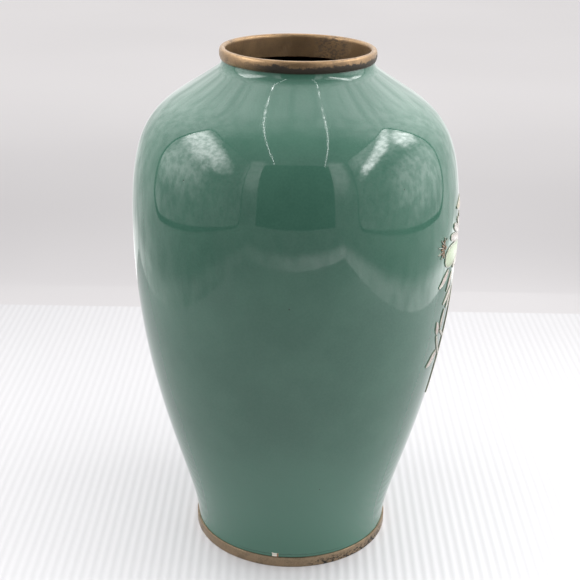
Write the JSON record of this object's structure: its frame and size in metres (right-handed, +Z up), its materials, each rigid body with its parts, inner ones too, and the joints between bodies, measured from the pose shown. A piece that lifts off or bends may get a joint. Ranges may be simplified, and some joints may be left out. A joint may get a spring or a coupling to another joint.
{
  "type": "cloisonne vase",
  "caption": "Tall baluster vase: spun copper vessel with green enamel ground, bronze mouth collar and foot ring, and a raised flowering spray of silver wire and enamel.",
  "frame": {"origin": "centre of the foot ring's underside, on the vase's axis", "axes": "+Z up along the axis; +X towards the side that carries the spray; -Y towards the front"},
  "size_m": [0.1445, 0.144, 0.23],
  "materials": {
    "copper": "bare copper with fire scale",
    "bronze": "worn bronze with dark patina",
    "green_enamel": "polished glossy enamel",
    "dark_enamel": "dark unpolished enamel",
    "petal_enamel": "polished glossy enamel",
    "cream_enamel": "polished glossy enamel",
    "amber_enamel": "polished glossy enamel",
    "tan_enamel": "polished glossy enamel",
    "leaf_enamel": "polished glossy enamel",
    "moss_enamel": "polished glossy enamel",
    "stem_enamel": "polished glossy enamel",
    "silver_wire": "tarnished silver wire"
  },
  "bodies": {
    "root": {"copper_body": "copper", "base_plate": "copper", "mouth_rim": "bronze", "foot_ring": "bronze", "ground_enamel": "green_enamel", "inner_counter_enamel": "dark_enamel", "base_counter_enamel": "dark_enamel", "petal_enamel": "petal_enamel", "petal_wires": "silver_wire", "throat_enamel": "cream_enamel", "throat_wires": "silver_wire", "stamen_enamel": "amber_enamel", "stamen_wires": "silver_wire", "bud_enamel": "tan_enamel", "bud_wires": "silver_wire", "leaf_enamel": "leaf_enamel", "leaf_wires": "silver_wire", "calyx_enamel": "moss_enamel", "calyx_wires": "silver_wire", "stem_enamel": "stem_enamel", "stem_wires": "silver_wire"}
  },
  "joints": []
}
